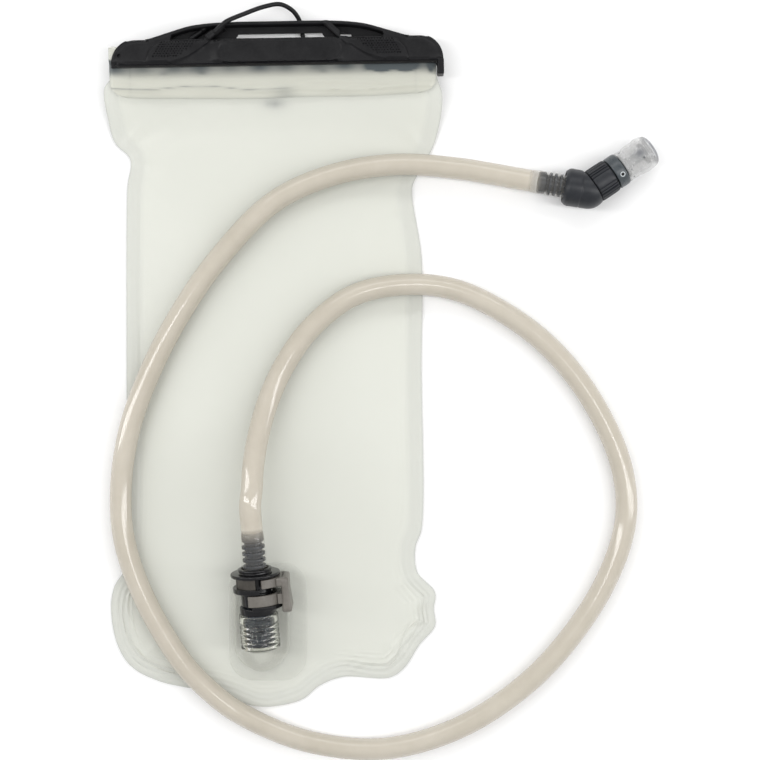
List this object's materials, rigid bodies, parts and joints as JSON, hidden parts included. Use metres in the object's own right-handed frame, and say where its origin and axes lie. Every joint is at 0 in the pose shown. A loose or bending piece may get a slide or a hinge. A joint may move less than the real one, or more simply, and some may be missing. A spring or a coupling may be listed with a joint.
{
  "type": "hydration bladder",
  "caption": "Soft drinking-water reservoir with a slide-on top closure, a plug-in hose port, a long drink tube and a bite valve on a swivel elbow.",
  "frame": {"origin": "middle of the empty reservoir's footprint, on the surface it lies on", "axes": "+Y from the port end to the closure, +X to the right seen from the front film, +Z out of the front film"},
  "size_m": [0.2422, 0.3315, 0.026],
  "materials": {
    "reservoir_film": "clear frosted film",
    "fold_film": "frosted film, several layers",
    "black_nylon": "satin moulded",
    "grey_nylon": "satin moulded",
    "clear_moulding": "clear polished moulding",
    "clear_silicone": "clear satin silicone",
    "tube_plastic": "translucent soft tube",
    "smoke_plastic": "smoky translucent moulding",
    "black_rubber": "satin elastomer",
    "spring_steel": "drawn wire"
  },
  "bodies": {
    "reservoir": {"back_film": "reservoir_film", "front_film": "reservoir_film", "mouth_fold": "fold_film", "closure_rail": "clear_moulding", "tether_anchor": "black_rubber", "tether_cord": "black_rubber", "port_patch": "reservoir_film", "port_body": "clear_moulding", "port_socket": "black_nylon", "socket_seal": "black_rubber", "poppet_spring": "spring_steel"},
    "closure_bar": {"slider_bar": "black_nylon"},
    "poppet": {"shutoff_poppet": "smoke_plastic"},
    "hose": {"hose_plug": "black_nylon", "plug_seal": "black_rubber", "tube_end_port": "tube_plastic", "drink_tube": "tube_plastic", "tube_end_valve": "tube_plastic", "elbow_insert": "smoke_plastic", "elbow_seal": "black_rubber", "release_spring": "spring_steel"},
    "release": {"release_lever": "grey_nylon"},
    "elbow": {"valve_elbow": "black_nylon", "valve_core": "smoke_plastic", "index_ring": "smoke_plastic"},
    "twist": {"shutoff_collar": "black_nylon"},
    "mouthpiece": {"bite_mouthpiece": "clear_silicone"}
  },
  "joints": [
    {"name": "closure_slide", "type": "slide", "parent": "reservoir", "child": "closure_bar", "axis": [0.9998, 0.0175, 0], "range_m": [0, 0.145], "deforming": ["tether_cord"]},
    {"name": "hose_pull", "type": "slide", "parent": "reservoir", "child": "hose", "axis": [-0.0675, 0.9902, 0.1219], "range_m": [0, 0.016]},
    {"name": "poppet_close", "type": "slide", "parent": "reservoir", "child": "poppet", "axis": [-0.0675, 0.9902, 0.1219], "range_m": [0, 0.0012], "deforming": ["poppet_spring"]},
    {"name": "release_press", "type": "slide", "parent": "hose", "child": "release", "axis": [-0.9977, -0.068, 0], "range_m": [0, 0.0015], "stiffness_N_per_m": 400, "deforming": ["release_spring"]},
    {"name": "elbow_swivel", "type": "hinge", "parent": "hose", "child": "elbow", "pos_m": [0.1375, 0.0765, 0.0086], "axis": [0.9863, -0.165, 0], "continuous": true},
    {"name": "shutoff_twist", "type": "hinge", "parent": "elbow", "child": "twist", "pos_m": [0.1375, 0.0765, 0.0086], "axis": [0.8336, 0.5517, -0.0262], "range_deg": [0, 90]},
    {"name": "mouthpiece_pull", "type": "slide", "parent": "elbow", "child": "mouthpiece", "axis": [0.8336, 0.5517, -0.0262], "range_m": [0, 0.014]}
  ],
  "couplings": [
    {"joint": "poppet_close", "follows": "hose_pull", "ratio": 0.075}
  ]
}
